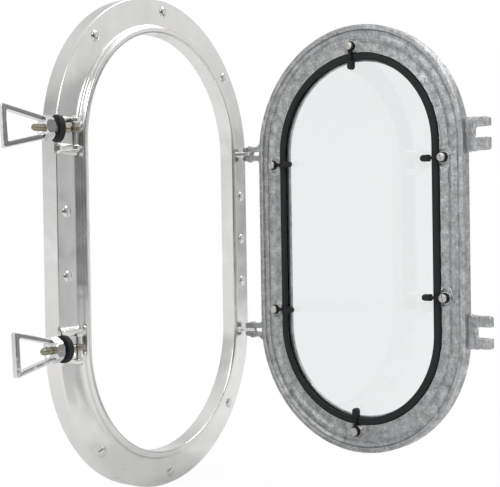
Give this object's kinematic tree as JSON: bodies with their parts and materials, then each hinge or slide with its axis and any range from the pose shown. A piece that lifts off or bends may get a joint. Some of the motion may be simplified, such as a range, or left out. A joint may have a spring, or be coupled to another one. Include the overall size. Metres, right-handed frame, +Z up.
{
  "type": "opening porthole",
  "caption": "Oval opening porthole: cast flanged frame, side-hinged glazed door with clipped glass, and swing-bolt dogs with stirrup handle nuts.",
  "frame": {"origin": "centre of the plane that the frame's back rim lies on, on the axis of the oval opening", "axes": "+Z up along the long axis of the oval, +Y into the wall, -Y to the room side, +X towards the hinges"},
  "size_m": [0.4529, 0.3984, 0.608],
  "materials": {
    "polished_aluminium": "polished casting with soft reflections",
    "cast_aluminium": "rough sand-cast, mottled",
    "black_rubber": "satin moulded rubber",
    "clear_glass": "clear float glass",
    "dark_steel": "blackened steel",
    "zinc_steel": "zinc-plated",
    "polished_steel": "polished screw heads",
    "nickel_steel": "nickel-plated, slightly yellowed",
    "bright_chrome": "bright chrome plate"
  },
  "bodies": {
    "frame": {"ring_frame": "polished_aluminium", "flange_screw_01": "polished_steel", "flange_screw_02": "polished_steel", "flange_screw_03": "polished_steel", "flange_screw_04": "polished_steel", "flange_screw_05": "polished_steel", "flange_screw_06": "polished_steel", "flange_screw_07": "polished_steel", "flange_screw_08": "polished_steel", "flange_screw_09": "polished_steel", "flange_screw_10": "polished_steel", "flange_screw_11": "polished_steel", "hinge_pin_upper": "zinc_steel", "hinge_pin_lower": "zinc_steel", "dog_pin_upper": "zinc_steel", "dog_pin_lower": "zinc_steel"},
    "door": {"door_frame": "cast_aluminium", "glass_gasket": "black_rubber", "glass": "clear_glass", "clip_top": "dark_steel", "clip_tip_top": "black_rubber", "clip_screw_top": "zinc_steel", "clip_bottom": "dark_steel", "clip_tip_bottom": "black_rubber", "clip_screw_bottom": "zinc_steel", "clip_hinge_upper": "dark_steel", "clip_tip_hinge_upper": "black_rubber", "clip_screw_hinge_upper": "zinc_steel", "clip_hinge_lower": "dark_steel", "clip_tip_hinge_lower": "black_rubber", "clip_screw_hinge_lower": "zinc_steel", "clip_fork_upper": "dark_steel", "clip_tip_fork_upper": "black_rubber", "clip_screw_fork_upper": "zinc_steel", "clip_fork_lower": "dark_steel", "clip_tip_fork_lower": "black_rubber", "clip_screw_fork_lower": "zinc_steel"},
    "swing_bolt_upper": {"swing_bolt_upper": "nickel_steel"},
    "washer_upper": {"rubber_washer_upper": "black_rubber"},
    "handle_upper": {"handle_nut_upper": "bright_chrome"},
    "swing_bolt_lower": {"swing_bolt_lower": "nickel_steel"},
    "washer_lower": {"rubber_washer_lower": "black_rubber"},
    "handle_lower": {"handle_nut_lower": "bright_chrome"}
  },
  "joints": [
    {"name": "door_hinge", "type": "hinge", "parent": "frame", "child": "door", "pos_m": [0.1765, -0.0385, 0], "axis": [0, 0, 1], "range_deg": [-81.5, 98.5]},
    {"name": "dog_swing_upper", "type": "hinge", "parent": "frame", "child": "swing_bolt_upper", "pos_m": [-0.18, -0.041, 0.1265], "axis": [0, 0, 1], "range_deg": [-2, 112]},
    {"name": "dog_advance_upper", "type": "slide", "parent": "swing_bolt_upper", "child": "washer_upper", "axis": [0.9397, -0.342, 0], "range_m": [0, 0.0025]},
    {"name": "handle_spin_upper", "type": "hinge", "parent": "washer_upper", "child": "handle_upper", "pos_m": [-0.18, -0.041, 0.1265], "axis": [0.9397, -0.342, 0], "range_deg": [0, 720]},
    {"name": "dog_swing_lower", "type": "hinge", "parent": "frame", "child": "swing_bolt_lower", "pos_m": [-0.18, -0.041, -0.1115], "axis": [0, 0, 1], "range_deg": [-2, 100]},
    {"name": "dog_advance_lower", "type": "slide", "parent": "swing_bolt_lower", "child": "washer_lower", "axis": [0.9903, -0.1392, 0], "range_m": [0, 0.0025]},
    {"name": "handle_spin_lower", "type": "hinge", "parent": "washer_lower", "child": "handle_lower", "pos_m": [-0.18, -0.041, -0.1115], "axis": [0.9903, -0.1392, 0], "range_deg": [0, 720]}
  ],
  "couplings": [
    {"joint": "handle_spin_upper", "follows": "dog_advance_upper", "rad_per_m": 5026.5},
    {"joint": "handle_spin_lower", "follows": "dog_advance_lower", "rad_per_m": 5026.5}
  ]
}
